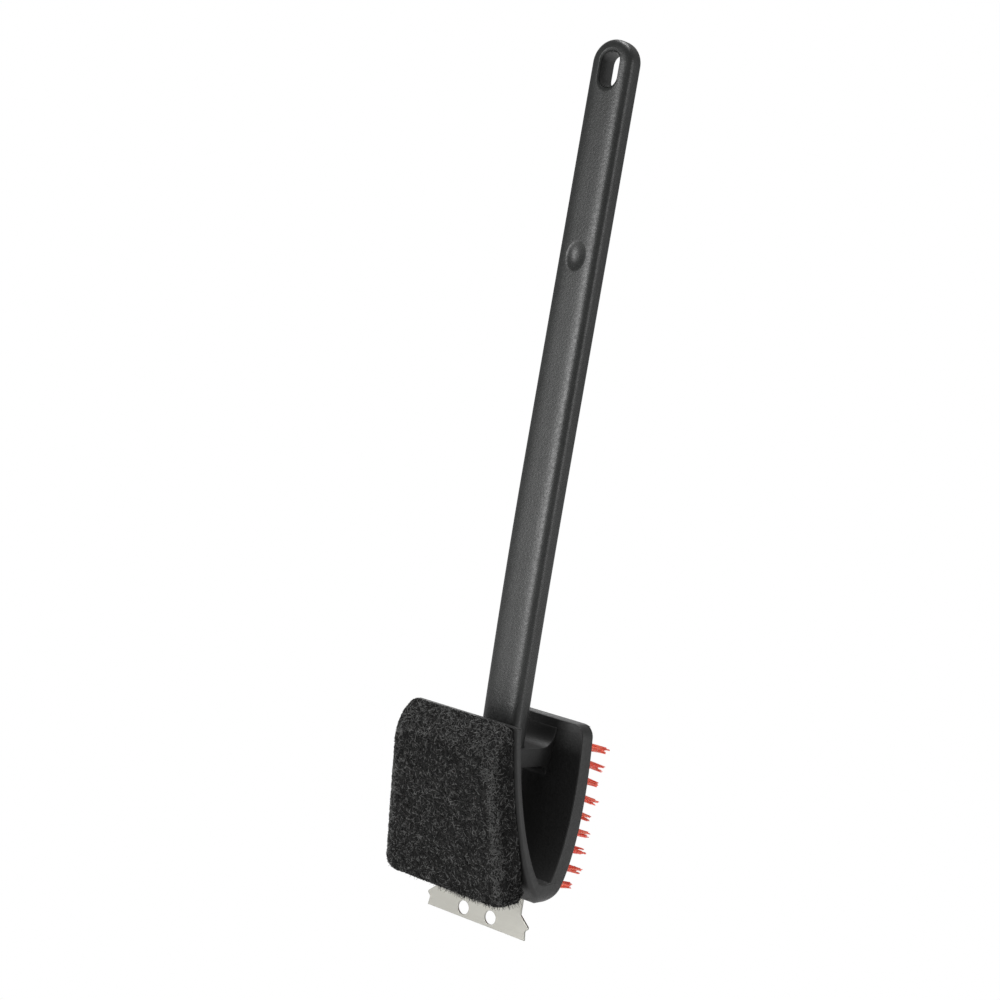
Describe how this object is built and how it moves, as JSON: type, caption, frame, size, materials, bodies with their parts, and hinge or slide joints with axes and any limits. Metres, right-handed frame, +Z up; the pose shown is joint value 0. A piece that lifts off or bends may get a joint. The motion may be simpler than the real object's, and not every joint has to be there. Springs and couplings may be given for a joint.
{
  "type": "grill cleaning brush",
  "caption": "Long-handled grill cleaning brush with a U-shaped head that carries a thick scouring pad, tufts of coarse bristles on the other side and a flat steel scraper at the tip",
  "frame": {"origin": "centre of the hanging slot, in the middle of the handle's thickness", "axes": "+Z up along the handle with the head hanging down, +X across the head, +Y towards the bristles and -Y towards the scouring pad"},
  "size_m": [0.0866, 0.1021, 0.4561],
  "materials": {
    "handle_plastic": "fine moulded texture, satin",
    "head_plastic": "fine moulded texture, satin",
    "pad_backing": "thin adhesive sheet",
    "scouring_pad": "coarse non-woven abrasive fibre",
    "scraper_steel": "fine satin",
    "screw_steel": "plain zinc",
    "bristle": "coarse nylon filament"
  },
  "bodies": {
    "root": {"handle": "handle_plastic", "head_shell": "head_plastic", "handle_screw_left": "screw_steel", "handle_screw_right": "screw_steel", "pad_backing": "pad_backing", "scouring_pad": "scouring_pad", "scraper_blade": "scraper_steel", "scraper_pin_left": "screw_steel", "scraper_pin_right": "screw_steel", "bristle_row_1": "bristle", "bristle_row_2": "bristle", "bristle_row_3": "bristle", "bristle_row_4": "bristle", "bristle_row_5": "bristle", "bristle_row_6": "bristle", "bristle_row_7": "bristle", "bristle_row_8": "bristle", "bristle_row_9": "bristle"}
  },
  "joints": []
}
